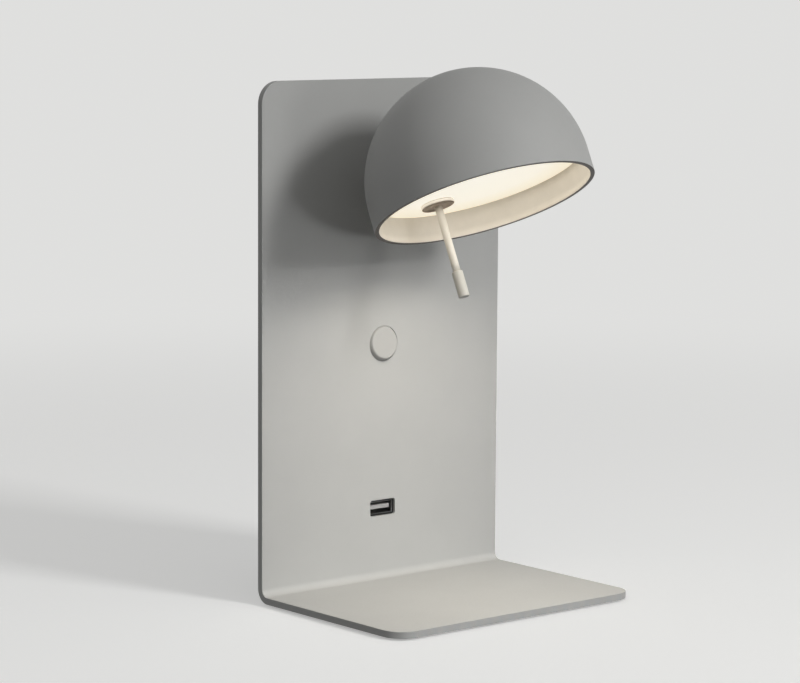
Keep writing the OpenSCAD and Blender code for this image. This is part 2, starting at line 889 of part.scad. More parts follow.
// The cap: face and ball-shaped side about Y, hollow from behind
module rocker_cap() {
    side = [for (i = [0:button_side_steps])
        let (a = asin(face_reach / button_ball_r),
            b = -asin(button_skirt_back / button_ball_r),
            t = a + (b - a) * i / button_side_steps)
        button_ball_r * [cos(t), sin(t)]];
    hollow_r = button_d / 2 - button_wall;
    rotate([90, 0, 0])
        rotate_extrude()
            polygon(concat([[0, face_reach - button_wall], [0, face_reach]], side,
                [[hollow_r, -button_skirt_back], [hollow_r, face_reach - button_wall]]));
}

module rocker_button() {
    color(plate_grey)
        rocked()
            difference() {
                union() {
                    rocker_cap();
                    rod_y(0, 0, button_post_r, -face_reach + button_wall - bite, button_post_back);
                    rod_x(button_d / 2 - bite, trunnion_end, 0, 0, trunnion_r);
                    rod_x(-trunnion_end, bite - button_d / 2, 0, 0, trunnion_r);
                }
                rod_y(0, 0, plunger_r + fit_gap, spring_seat, button_post_back + cut);
            }
}

module switch_plunger() {
    color(white_plastic)
        rocked()
            union() {
                rod_y(0, 0, plunger_r, plunger_in, plunger_ball);
                translate([0, plunger_ball, 0])
                    sphere(plunger_r);
            }
}

// A coil of round wire about the button's axis, as one tube whose rings follow a helix
function spring_point(i) =
    let (n = spring_turns * spring_rings, a = 360 * i / spring_rings)
    [spring_r * cos(a), spring_front + (spring_back - spring_front) * i / n, spring_r * sin(a)];

function ring_point(i, k) =
    let (a = 360 * i / spring_rings, b = 360 * k / spring_sides, c = spring_point(i))
    [c[0] + spring_wire / 2 * cos(b) * cos(a), c[1] + spring_wire / 2 * sin(b),
        c[2] + spring_wire / 2 * cos(b) * sin(a)];

module button_spring() {
    n = spring_turns * spring_rings;
    s = spring_sides;
    points = [for (i = [0:n]) for (k = [0:s - 1]) ring_point(i, k)];
    sides = [for (i = [0:n - 1]) for (k = [0:s - 1]) for (t = [0, 1])
        let (a = i * s + k, b = i * s + (k + 1) % s)
        t == 0 ? [a, b + s, b] : [a, a + s, b + s]];
    front_cap = [for (k = [1:s - 2]) [0, k, k + 1]];
    back_cap = [for (k = [1:s - 2]) [n * s, n * s + k + 1, n * s + k]];
    color(steel)
        rocked()
            polyhedron(points = points, faces = concat(sides, front_cap, back_cap), convexity = 6);
}

// ---- swivel and tilt ----

module spindle_bush() {
    color(dark_steel)
        difference() {
            union() {
                rod_y(0, pivot_z, bush_r, front_y - cut / 2, web_y);
                rod_y(0, pivot_z, bush_flange_d / 2, front_y - bush_flange_t, front_y);
            }
            rod_y(0, pivot_z, spindle_d / 2 + fit_gap, front_y - bush_flange_t - cut, web_y + cut);
        }
}

module stop_pin() {
    color(steel)
        rod_y(0, pivot_z + stop_reach, stop_pin_r, web_y, wave_washer_y + wave_washer_t / 2);
}

module swivel_fork() {
    color(dark_steel)
        difference() {
            union() {
                rod_y(0, pivot_z, fork_base_r, fork_front_y, fork_back_y);
                rod_y(0, pivot_z, spindle_d / 2, fork_back_y - cut, spindle_end_y);
                for (side = [0, 1])
                    mirror([side, 0, 0]) {
                        rod_x(ear_in, ear_out, pivot_y, pivot_z, ear_r);
                        translate([ear_in, pivot_y, pivot_z - ear_r])
                            cube([ear_t, fork_front_y - pivot_y + cut, 2 * ear_r]);
                    }
            }
            rod_y(0, pivot_z, spindle_bore / 2, fork_front_y - cut, spindle_end_y + cut);
            rod_x(-ear_out - cut, ear_out + cut, pivot_y, pivot_z, pin_d / 2 + fit_gap);
        }
}

module stop_washer() {
    color(steel)
        difference() {
            union() {
                rod_y(0, pivot_z, stop_washer_r, stop_washer_y, wave_washer_y);
                translate([-stop_tab_w / 2, stop_washer_y, pivot_z - stop_reach - stop_pin_r])
                    cube([stop_tab_w, stop_washer_t, stop_reach]);
            }
            rod_y(0, pivot_z, spindle_d / 2 + fit_gap, stop_washer_y - cut, wave_washer_y + cut);
        }
}

module wave_washer() {
    color(steel)
        face_wall(0, wave_washer_y, pivot_z)
            flat_washer(spindle_d, 2 * stop_washer_r - 1, wave_washer_t);
}

module spindle_nut() {
    color(steel)
        face_wall(0, spindle_nut_y, pivot_z)
            hex_nut(spindle_d, spindle_nut_d * cos(30), spindle_nut_t);
}

module tilt_pin() {
    color(steel)
        difference() {
            union() {
                rod_x(-ear_out - pin_head_t, -ear_out, pivot_y, pivot_z, pin_head_r);
                rod_x(-ear_out - cut, ear_out + pin_nut_t + pin_end, pivot_y, pivot_z, pin_d / 2);
            }
            rod_x(-ear_out - pin_head_t - cut, -ear_out - pin_head_t / 2, pivot_y, pivot_z,
                pin_socket_r, $fn = 6);
        }
}

module tilt_nut() {
    color(steel)
        translate([ear_out, pivot_y, pivot_z])
            rotate([0, 90, 0])
                hex_nut(pin_d, pin_nut_w, pin_nut_t);
}

module friction_washers() {
    color(black_plastic)
        for (side = [0, 1])
            mirror([side, 0, 0])
                translate([lug_t / 2 + fit_gap / 2, pivot_y, pivot_z])
                    rotate([0, 90, 0])
                        flat_washer(pin_d, 2 * ear_r, friction_t);
}

// ---- head, drawn in the shade's own frame ----

module tilt_lug() {
    color(dark_steel)
        in_shade()
            difference() {
                union() {
                    rod_x(-lug_t / 2, lug_t / 2, pin_in, pin_up, ear_r);
                    translate([-lug_t / 2, foot_y[0], carrier_top])
                        cube([lug_t, pin_in - foot_y[0], lug_h]);
                    translate([-foot_w / 2, foot_y[0], carrier_top])
                        cube([foot_w, foot_y[1] - foot_y[0], foot_t]);
                }
                rod_x(-lug_t, lug_t, pin_in, pin_up, pin_d / 2 + fit_gap);
                translate([0, stick_in, carrier_top - cut])
                    cylinder(r = stick_thread_d / 2 + fit_gap, h = stick_depth + cut + slip_gap);
                for (sx = [-1, 1])
                    for (y = lug_screw_y)
                        translate([sx * lug_screw_x, y, carrier_top - cut])
                            cylinder(r = m3[0] / 2 + screw_gap, h = foot_t + 2 * cut);
            }
}

module lug_screws() {
    color(steel)
        in_shade()
            for (sx = [-1, 1])
                for (y = lug_screw_y)
                    translate([sx * lug_screw_x, y, carrier_top + foot_t])
                        pan_screw(m3, foot_t + carrier_t - fit_gap);
}

// Half the outline of a dome with a straight skirt, beside the axis
module dome_profile(r, skirt) {
    intersection() {
        circle(r);
        square(r + cut);
    }
    translate([0, -skirt])
        square([r, skirt]);
}

module shade_shell() {
    color(shade_grey)
        in_shade()
            difference() {
                union() {
                    rotate_extrude()
                        difference() {
                            dome_profile(shade_r, skirt_h);
                            dome_profile(shade_in_r, skirt_h + cut);
                        }
                    intersection() {
                        around(boss_in, boss_angles)
                            translate([0, 0, carrier_top])
                                cylinder(r = boss_r, h = shade_r);
                        sphere(shade_r - shade_t / 2);
                    }
                }
                around(boss_in, boss_angles)
                    translate([0, 0, carrier_top - cut])
                        cylinder(r = m3[0] / 2 + fit_gap, h = boss_screw_depth + cut);
                translate([-slot_w / 2, foot_y[1], pin_up - slot_h / 2])
                    cube([slot_w, shade_r + cut - foot_y[1], slot_h]);
            }
}

// Half the length of the rib at y, which ends on a circle about the axis
function rib_half(y) = sqrt(rib_span_r * rib_span_r - y * y);

module head_carrier() {
    color(steel)
        in_shade()
            difference() {
                union() {
                    translate([0, 0, carrier_z])
                        cylinder(r = carrier_r, h = carrier_t);
                    for (y = rib_ys)
                        translate([-rib_half(y), y - rib_w / 2, carrier_top - bite])
                            cube([2 * rib_half(y), rib_w, rib_h]);
                }
                around(boss_in, boss_angles)
                    translate([0, 0, carrier_z - cut])
                        cylinder(r = m3[0] / 2 + screw_gap, h = carrier_t + 2 * cut);
                around(board_screw_in, board_screw_angles)
                    translate([0, 0, carrier_z - cut])
                        cylinder(r = m3[0] / 2 + fit_gap, h = carrier_t + cut - blind_end / 2);
                translate([0, stick_in, carrier_z - cut])
                    cylinder(r = stick_thread_d / 2 + screw_gap, h = carrier_t + 2 * cut);
                for (sx = [-1, 1])
                    for (y = lug_screw_y)
                        translate([sx * lug_screw_x, y, carrier_z - cut])
                            cylinder(r = m3[0] / 2 + fit_gap, h = carrier_t + 2 * cut);
            }
}

module carrier_screws() {
    color(steel)
        in_shade()
            around(boss_in, boss_angles)
                translate([0, 0, carrier_z])
                    mirror([0, 0, 1])
                        pan_screw(m3, carrier_t + boss_screw_depth - blind_end);
}

module led_board() {
    color([0.90, 0.90, 0.88])
        in_shade()
            difference() {
                translate([0, 0, board_z])
                    cylinder(r = board_r, h = board_t);
                translate([0, stick_in, board_z - cut])
                    cylinder(r = collar_sleeve_r + slip_gap, h = board_t + 2 * cut);
                around(board_screw_in, board_screw_angles)
                    translate([0, 0, board_z - cut])
                        cylinder(r = m3[0] / 2 + screw_gap, h = board_t + 2 * cut);
            }
}

module board_screws() {
    color(steel)
        in_shade()
            around(board_screw_in, board_screw_angles)
                translate([0, 0, board_z])
                    mirror([0, 0, 1])
                        pan_screw(m3, board_t + carrier_t - blind_end);
}

module led_chips() {
    color([0.95, 0.85, 0.45])
        in_shade()
            for (ring = chip_rings)
                around(ring[0], [for (i = [0.5:1:ring[1]]) 90 + i * 360 / ring[1]])
                    translate([-chip_size[0] / 2, -chip_size[1] / 2, board_z - chip_size[2]])
                        cube(chip_size);
}

module diffuser() {
    color([0.98, 0.96, 0.90])
        in_shade()
            difference() {
                union() {
                    translate([0, 0, diffuser_z])
                        cylinder(r = diffuser_r, h = diffuser_t);
                    translate([0, 0, diffuser_z])
                        cylinder(r = upstand_r + upstand_t, h = upstand_top - diffuser_z);
                }
                translate([0, 0, diffuser_z + diffuser_t])
                    cylinder(r = upstand_r, h = upstand_top);
                translate([0, stick_in, diffuser_z - cut])
                    cylinder(r = collar_sleeve_r + screw_gap, h = diffuser_t + 2 * cut);
            }
}

module stick_collar() {
    color([0.45, 0.42, 0.37])
        in_shade()
            difference() {
                union() {
                    translate([0, stick_in, diffuser_z - collar_drop])
                        cylinder(d = collar_d, h = collar_drop);
                    translate([0, stick_in, diffuser_z - collar_drop])
                        cylinder(r = collar_sleeve_r, h = sleeve_len);
                }
                translate([0, stick_in, diffuser_z - collar_drop - cut])
                    cylinder(r = stick_thread_d / 2 + fit_gap, h = sleeve_len + 2 * cut);
            }
}

module stick_rod() {
    color([0.86, 0.84, 0.80])
        in_shade()
            translate([0, stick_in, diffuser_z - collar_drop]) {
                translate([0, 0, -stick_len])
                    cylinder(d = stick_d, h = stick_len);
                translate([0, 0, -cut])
                    cylinder(d = stick_thread_d,
                        h = cut + collar_drop + carrier_top - diffuser_z + stick_depth);
                translate([0, 0, -stick_len - knob_len + knob_floor])
                    cylinder(d = stick_thread_d, h = knob_len - knob_floor + cut);
            }
}

module stick_knob() {
    color([0.86, 0.84, 0.80])
        in_shade()
            translate([0, stick_in, knob_z])
                difference() {
                    cylinder(d = knob_d, h = knob_len);
                    translate([0, 0, knob_floor - fit_gap])
                        cylinder(r = stick_thread_d / 2 + fit_gap, h = knob_len);
                }
}

shelf_plate();
rear_box();
wall_bracket();
side_screws();
weld_studs();
stud_washers();
stud_nuts();
cable_grommet();
led_driver();
driver_screws();
terminal_block();
terminal_screws();
earth_stud();
earth_nut();
usb_shell();
usb_tongue();
usb_contacts();
usb_board();
usb_capacitor();
usb_chip();
usb_bezel();
usb_holder();
usb_screws();
button_guide();
guide_screws();
switch_body();
switch_blades();
spindle_bush();
stop_pin();
rocker_button();
switch_plunger();
button_spring();
swivel_fork();
stop_washer();
wave_washer();
spindle_nut();
tilt_pin();
tilt_nut();
friction_washers();
tilt_lug();
lug_screws();
shade_shell();
head_carrier();
carrier_screws();
led_board();
board_screws();
led_chips();
diffuser();
stick_collar();
stick_rod();
stick_knob();
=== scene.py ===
import json
import math

import bmesh
import bpy
import numpy as np
from mathutils import Matrix, Vector

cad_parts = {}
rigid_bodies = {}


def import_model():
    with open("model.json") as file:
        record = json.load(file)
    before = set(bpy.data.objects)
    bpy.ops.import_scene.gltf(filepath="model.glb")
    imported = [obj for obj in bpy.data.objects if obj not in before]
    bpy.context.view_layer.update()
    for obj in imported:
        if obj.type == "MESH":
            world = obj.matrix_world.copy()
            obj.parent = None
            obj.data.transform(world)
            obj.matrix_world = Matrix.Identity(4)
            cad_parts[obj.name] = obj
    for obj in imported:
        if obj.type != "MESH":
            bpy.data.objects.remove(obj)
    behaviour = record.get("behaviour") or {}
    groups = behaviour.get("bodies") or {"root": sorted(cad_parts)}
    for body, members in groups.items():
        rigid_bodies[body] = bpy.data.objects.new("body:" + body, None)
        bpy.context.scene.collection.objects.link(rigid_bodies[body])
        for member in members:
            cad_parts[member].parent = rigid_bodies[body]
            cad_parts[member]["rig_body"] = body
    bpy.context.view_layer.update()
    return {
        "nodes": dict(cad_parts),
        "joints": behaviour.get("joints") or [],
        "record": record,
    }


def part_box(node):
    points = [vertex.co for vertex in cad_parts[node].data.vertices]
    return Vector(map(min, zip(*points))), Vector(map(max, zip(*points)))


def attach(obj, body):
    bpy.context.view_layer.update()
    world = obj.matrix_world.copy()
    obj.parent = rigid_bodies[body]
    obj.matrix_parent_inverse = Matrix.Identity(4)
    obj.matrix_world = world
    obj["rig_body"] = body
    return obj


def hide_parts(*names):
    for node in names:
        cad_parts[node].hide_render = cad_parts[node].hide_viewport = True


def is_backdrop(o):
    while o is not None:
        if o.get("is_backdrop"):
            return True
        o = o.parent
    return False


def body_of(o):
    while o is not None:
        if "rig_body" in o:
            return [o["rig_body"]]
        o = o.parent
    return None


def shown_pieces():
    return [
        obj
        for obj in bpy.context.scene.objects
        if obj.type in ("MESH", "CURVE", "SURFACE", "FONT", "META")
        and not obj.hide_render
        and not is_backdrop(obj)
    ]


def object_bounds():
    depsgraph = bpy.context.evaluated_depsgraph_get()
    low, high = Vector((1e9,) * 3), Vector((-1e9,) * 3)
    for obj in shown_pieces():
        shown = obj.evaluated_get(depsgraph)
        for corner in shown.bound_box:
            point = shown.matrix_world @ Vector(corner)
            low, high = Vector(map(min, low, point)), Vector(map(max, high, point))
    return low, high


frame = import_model()
nodes = frame["nodes"]
MM = 0.001

# The camera, in the frame's metres and in degrees: yaw turns it right from +Y, pitch lifts it
CAMERA_AT = Vector((-0.84761, -1.04613, 0.16205))
CAMERA_YAW = 40.104
CAMERA_PITCH = -7.190
CAMERA_ROLL = 0.343
CAMERA_LENS = 131.1
SENSOR_WIDTH = 36

# Edge fillets on the frame's own pieces, in metres
EDGE_ROUND = {
    "shelf_plate": 0.35 * MM,
    "rear_box": 0.25 * MM,
    "wall_bracket": 0.2 * MM,
    "led_driver": 0.5 * MM,
    "terminal_block": 0.35 * MM,
    "usb_bezel": 0.2 * MM,
    "usb_holder": 0.25 * MM,
    "usb_chip": 0.1 * MM,
    "usb_contacts": 0.04 * MM,
    "switch_body": 0.3 * MM,
    "head_carrier": 0.25 * MM,
    "diffuser": 0.3 * MM,
    "swivel_fork": 0.3 * MM,
    "tilt_lug": 0.3 * MM,
    "led_chips": 0.08 * MM,
}
EDGE_ROUND_SMALL = 0.12 * MM
NO_EDGE_ROUND = ["button_spring"]

# The rocker button: edge and wall, radii of its post, bore and trunnions, height of its seat
BUTTON_EDGE = 0.8 * MM
BUTTON_WALL = 1.5 * MM
BUTTON_POST = 3.2 * MM
BUTTON_BORE = 1.55 * MM
BUTTON_SEAT = 2.2 * MM
TRUNNION = 0.9 * MM
TRUNNION_EDGE = 0.1 * MM
BUTTON_TURNS = 128
BUTTON_EDGE_STEPS = 8
BALL_STEPS = 32
TRUNNION_TURNS = 32

# The shade: wall, rim, the hem inside the rim (how far in, how high), and the lug's slot
DOME_WALL = 1.5 * MM
LIP_EDGE = 0.12 * MM
HEM = Vector((0.5, 1.0)) * MM
SLOT_HALF = Vector((2.8, 7.5, 4.3)) * MM
SLOT_IN = 8 * MM
SHADE_TURNS = 192
DOME_STEPS = 48
SKIRT_STEPS = 6
LIP_STEPS = 4

# The stick handle: collar, rod and knob
COLLAR_EDGE = 0.3 * MM
COLLAR_TOP_EDGE = 0.05 * MM
COLLAR_SLEEVE = 3 * MM
COLLAR_BORE = 1.55 * MM
COLLAR_STEPS = 4
STICK_THREAD = 1.5 * MM
STICK_RING = 4 * MM
STICK_TURNS = 64
KNOB_EDGE = 0.35 * MM
KNOB_FLOOR = 3 * MM
KNOB_BORE = 1.52 * MM
KNOB_STEPS = 5

# The lamp's own light: its disc, how far that lies off the middle and in front of the diffuser
MOUTH = 84 * MM
MOUTH_SHIFT = Vector((3.1, -2.5)) * MM
MOUTH_GAP = 0.3 * MM

# Paints and the colours of the light
PAINT = (0.455, 0.457, 0.445)
BUTTON_PAINT = (0.42, 0.418, 0.405)
CREAM = (0.73, 0.69, 0.63)
# The rim's near-black brown is painted shade on the rim's under side
RIM_PAINTED_SHADE = (0.10, 0.086, 0.076)
WARM = (1.0, 0.93, 0.82)

# The diffuser's own brightness, and the soft light that comes from each side
GLOW_SEEN = 0.79
FILLS = [((-1, 0, 0), 0.25), ((1, 0, 0), 0.10), ((0, -1, 0), 0.47), ((0, 1, 0), 0.45)]

# The pale floor: its colour, its colour for light that bounces off it, its own brightness, the
# distances over which it runs into the backdrop, its half width and its gap below the lamp
BACKDROP = (0.74, 0.74, 0.73)
FLOOR_BOUNCE = (0.12, 0.12, 0.12)
FLOOR_LIFT = 0.5
FLOOR_FADE = (0.35, 1.1)
FLOOR_HALF = 6.0
FLOOR_GAP = 1 * MM


# ---- material tools ----

class Shader:
    """A material's node tree with short ways to add textures to it."""

    def __init__(self, name):
        self.material = bpy.data.materials.new(name)
        self.material.use_nodes = True
        self.tree = self.material.node_tree
        self.surface = self.tree.nodes["Principled BSDF"]
        self.place = self.tree.nodes.new("ShaderNodeTexCoord").outputs["Object"]

    def node(self, kind, **inputs):
        """A new node with the given inputs set. An underscore stands for a space."""
        made = self.tree.nodes.new(kind)
        for key, value in inputs.items():
            made.inputs[key.replace("_", " ")].default_value = value
        return made

    def join(self, start, end):
        """Link an output to an input."""
        self.tree.links.new(start, end)

    def noise(self, size, detail=2.0, stretch=(1, 1, 1)):
        """Noise whose features are about size metres across, from 0 to 1."""
        made = self.node("ShaderNodeTexNoise", Scale=1 / size, Detail=detail, Roughness=0.55)
        shaped = self.node("ShaderNodeMapping", Scale=stretch)
        self.join(self.place, shaped.inputs["Vector"])
        self.join(shaped.outputs["Vector"], made.inputs["Vector"])
        return made.outputs["Fac"]

    def spread(self, value, low, high, start=0.3, end=0.7):
        """A value turned into the range from low to high."""
        made = self.tree.nodes.new("ShaderNodeMapRange")
        made.inputs["From Min"].default_value = start
        made.inputs["From Max"].default_value = end
        made.inputs["To Min"].default_value = low
        made.inputs["To Max"].default_value = high
        self.join(value, made.inputs["Value"])
        return made.outputs["Result"]

    def tint(self, value, dark, light):
        """A colour between dark and light, chosen by value."""
        made = self.tree.nodes.new("ShaderNodeMix")
        made.data_type = "RGBA"
        made.inputs["A"].default_value = (*dark, 1)
        made.inputs["B"].default_value = (*light, 1)
        self.join(value, made.inputs["Factor"])
        return made.outputs["Result"]

    def bump(self, height, depth, strength=1.0):
        """Relief about depth metres deep."""
        made = self.node("ShaderNodeBump", Strength=strength, Distance=depth)
        self.join(height, made.inputs["Height"])
        self.join(made.outputs["Normal"], self.surface.inputs["Normal"])

    def colour(self, output):
        """Take the surface's colour from an output."""
        self.join(output, self.surface.inputs["Base Color"])

    def roughness(self, output):
        """Take the surface's roughness from an output."""
        self.join(output, self.surface.inputs["Roughness"])

    def fixed(self, **values):
        """Set values that are the same all over the surface."""
        for key, value in values.items():
            self.surface.inputs[key.replace("_", " ")].default_value = value


def shades(colour, amount):
    """A darker and a lighter colour, each apart from colour by the share amount."""
    return [tuple(min(1, c * f) for c in colour) for f in (1 - amount, 1 + amount)]


# ---- materials ----

def powder_coat(name, colour):
    """Matt powder coat: a fine grain over a faint mottle."""
    s = Shader(name)
    s.fixed(Specular_IOR_Level=0.35)
    s.colour(s.tint(s.spread(s.noise(22 * MM, 3), 0, 1), *shades(colour, 0.015)))
    s.roughness(s.spread(s.noise(0.9 * MM), 0.56, 0.68))
    s.bump(s.noise(0.45 * MM, 3), 0.012 * MM, 0.6)
    return s.material


def plated_metal(name, colour, rough, tone=0.06):
    """Plated or turned metal with fine drawn lines along X and soft stains."""
    s = Shader(name)
    s.fixed(Metallic=1.0)
    s.colour(s.tint(s.spread(s.noise(6 * MM, 4), 0, 1), *shades(colour, tone)))
    s.roughness(s.spread(s.noise(0.5 * MM, 3, (0.15, 1, 1)), rough - 0.06, rough + 0.08))
    s.bump(s.noise(0.3 * MM, 2, (0.1, 1, 1)), 0.004 * MM, 0.5)
    return s.material


def cast_metal(name, colour):
    """Bare die-cast metal with an even pebbled skin."""
    s = Shader(name)
    s.fixed(Metallic=1.0)
    s.colour(s.tint(s.spread(s.noise(9 * MM, 4), 0, 1), *shades(colour, 0.05)))
    s.roughness(s.spread(s.noise(0.8 * MM, 3), 0.42, 0.6))
    s.bump(s.noise(0.6 * MM, 3), 0.03 * MM, 0.6)
    return s.material


def moulded_plastic(name, colour, rough, shine=0.45):
    """Injection moulded plastic with a spark-eroded grain."""
    s = Shader(name)
    s.fixed(Specular_IOR_Level=shine)
    s.colour(s.tint(s.spread(s.noise(15 * MM, 2), 0, 1), *shades(colour, 0.03)))
    s.roughness(s.spread(s.noise(0.7 * MM), rough - 0.06, rough + 0.06))
    s.bump(s.noise(0.35 * MM, 3), 0.01 * MM, 0.6)
    return s.material


def rubber(name, colour):
    """Dull moulded rubber with uneven bloom."""
    s = Shader(name)
    s.fixed(Specular_IOR_Level=0.25)
    s.colour(s.tint(s.spread(s.noise(4 * MM, 4), 0, 1), *shades(colour, 0.25)))
    s.roughness(s.spread(s.noise(1 * MM), 0.7, 0.9))
    s.bump(s.noise(0.5 * MM, 4), 0.03 * MM, 0.7)
    return s.material


def circuit_board(name, mask, track):
    """Solder mask over copper tracks that run in straight lanes."""
    s = Shader(name)
    lanes = s.node("ShaderNodeTexBrick", Scale=1 / (6 * MM), Mortar_Size=0.04, Brick_Width=1.3)
    s.join(s.place, lanes.inputs["Vector"])
    s.colour(s.tint(lanes.outputs["Fac"], mask, track))
    s.roughness(s.spread(s.noise(1.5 * MM), 0.28, 0.4))
    s.bump(lanes.outputs["Fac"], 0.03 * MM, 0.5)
    return s.material


def shrink_sleeve(name, colour):
    """Glossy heat-shrink film with faint waves."""
    s = Shader(name)
    s.fixed(Coat_Weight=0.3)
    s.colour(s.tint(s.spread(s.noise(2 * MM, 3), 0, 1), *shades(colour, 0.12)))
    s.roughness(s.spread(s.noise(1 * MM), 0.25, 0.4))
    s.bump(s.noise(1.2 * MM, 2), 0.02 * MM, 0.4)
    return s.material


def phosphor(name, colour):
    """The yellow resin face of a light chip."""
    s = Shader(name)
    s.fixed(Coat_Weight=0.4)
    s.colour(s.tint(s.spread(s.noise(0.5 * MM, 4), 0, 1), *shades(colour, 0.1)))
    s.roughness(s.spread(s.noise(0.6 * MM), 0.3, 0.45))
    s.bump(s.noise(0.3 * MM, 3), 0.02 * MM, 0.5)
    return s.material


def satin_finish(name, colour, rough=0.42):
    """Satin lacquer on a turned part, with faint turning marks."""
    s = Shader(name)
    s.fixed(Specular_IOR_Level=0.4)
    s.colour(s.tint(s.spread(s.noise(5 * MM, 3), 0, 1), *shades(colour, 0.025)))
    s.roughness(s.spread(s.noise(0.4 * MM, 2, (1, 0.25, 1)), rough - 0.06, rough + 0.06))
    s.bump(s.noise(0.25 * MM, 2, (0.3, 1, 1)), 0.004 * MM, 0.5)
    return s.material


def opal_glow(name, centre, radius):
    """Opal plastic lit from behind: warm white, dimmer and warmer towards its rim."""
    s = Shader(name)
    away = s.node("ShaderNodeVectorMath")
    away.operation = "DISTANCE"
    away.inputs[1].default_value = centre
    s.join(s.place, away.inputs[0])
    share = s.spread(away.outputs["Value"], 0, 1, 0, radius)
    falloff = s.tree.nodes.new("ShaderNodeValToRGB")
    falloff.color_ramp.elements[0].color = (1.0, 0.955, 0.84, 1)
    falloff.color_ramp.elements[1].color = (0.95, 0.85, 0.66, 1)
    middle = falloff.color_ramp.elements.new(0.66)
    middle.color = (1.0, 0.945, 0.815, 1)
    s.join(share, falloff.inputs["Fac"])
    grain = s.node("ShaderNodeMix")
    grain.data_type = "RGBA"
    grain.blend_type = "MULTIPLY"
    grain.inputs["Factor"].default_value = 1.0
    s.join(falloff.outputs["Color"], grain.inputs["A"])
    s.join(s.tint(s.spread(s.noise(1.2 * MM, 3), 0, 1), (0.985,) * 3, (1, 1, 1)), grain.inputs["B"])
    s.join(grain.outputs["Result"], s.surface.inputs["Emission Color"])
    s.fixed(Base_Color=(0.30, 0.29, 0.26, 1), Roughness=0.45, Emission_Strength=GLOW_SEEN)
    s.bump(s.noise(0.5 * MM, 2), 0.006 * MM, 0.5)
    return s.material


# ---- the head's own axes ----

def axis_of(node):
    """The direction in which a CAD node is thinnest, turned upwards."""
    points = np.array([v.co for v in nodes[node].data.vertices])
    across = np.linalg.svd(points - points.mean(0))[2][-1]
    return Vector(across * np.sign(across[2]))


lean = math.atan2(axis_of("led_board").y, axis_of("led_board").z)
TO_HEAD = Matrix.Rotation(lean, 3, "X")


def head_box(node):
    """Lowest and highest corner of a CAD node along the head's own axes."""
    points = np.array([TO_HEAD @ v.co for v in nodes[node].data.vertices])
    return Vector(points.min(0)), Vector(points.max(0))


def head_axis(node, height=0.0):
    """A matrix that puts a shape drawn about +Z on a round head node's axis."""
    low, high = head_box(node)
    middle = (low + high) / 2
    return TO_HEAD.to_4x4().inverted() @ Matrix.Translation((middle.x, middle.y, height))


# ---- mesh tools ----

def arc(centre, radius, start, end, steps):
    """Points on an arc from start to end degrees, as pairs of distance from the axis and height."""
    turns = [math.radians(start + (end - start) * i / steps) for i in range(steps + 1)]
    return [(centre[0] + radius * math.cos(t), centre[1] + radius * math.sin(t)) for t in turns]


def turn_outwards(mesh):
    """Make all of a closed mesh's faces look outwards."""
    shape = bmesh.new()
    shape.from_mesh(mesh)
    bmesh.ops.recalc_face_normals(shape, faces=shape.faces)
    shape.to_mesh(mesh)
    shape.free()


def merge(piece, others):
    """Join the meshes of the others into the piece."""
    shape = bmesh.new()
    for part in (piece, *others):
        shape.from_mesh(part.data)
    shape.to_mesh(piece.data)
    shape.free()
    for part in others:
        bpy.data.objects.remove(part)


def revolve(name, profile, material, place, steps=96):
    """A closed solid of revolution about +Z. The profile starts and ends on the axis."""
    verts, faces, rings = [], [], []
    for r, z in profile:
        if r < 1e-7:
            rings.append([len(verts)] * steps)
            verts.append((0, 0, z))
        else:
            rings.append(list(range(len(verts), len(verts) + steps)))
            for i in range(steps):
                turn = 2 * math.pi * i / steps
                verts.append((r * math.cos(turn), r * math.sin(turn), z))
    for low, high in zip(rings, rings[1:]):
        for i in range(steps):
            j = (i + 1) % steps
            corners = [low[i], low[j], high[j], high[i]]
            faces.append(list(dict.fromkeys(corners)))
    mesh = bpy.data.meshes.new(name)
    mesh.from_pydata([place @ Vector(v) for v in verts], [], faces)
    mesh.materials.append(material)
    turn_outwards(mesh)
    mesh.shade_smooth()
    made = bpy.data.objects.new(name, mesh)
    bpy.context.scene.collection.objects.link(made)
    return made


def soften(node, width):
    """Round the sharp edges of a CAD node with modifiers, and keep its flat faces flat."""
    weld = node.modifiers.new("weld", "WELD")
    weld.merge_threshold = 0.001 * MM
    if width:
        bevel = node.modifiers.new("bevel", "BEVEL")
        bevel.width = width
        bevel.segments = 2
        bevel.limit_method = "ANGLE"
        bevel.angle_limit = math.radians(40)
    node.data.shade_smooth()
    flat = node.modifiers.new("flat_faces", "WEIGHTED_NORMAL")
    flat.keep_sharp = False
    flat.weight = 100


def stands_for(piece, node, body):
    """The piece takes the place of a CAD node on its body."""
    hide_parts(node)
    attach(piece, body)


# ---- pieces modelled here ----

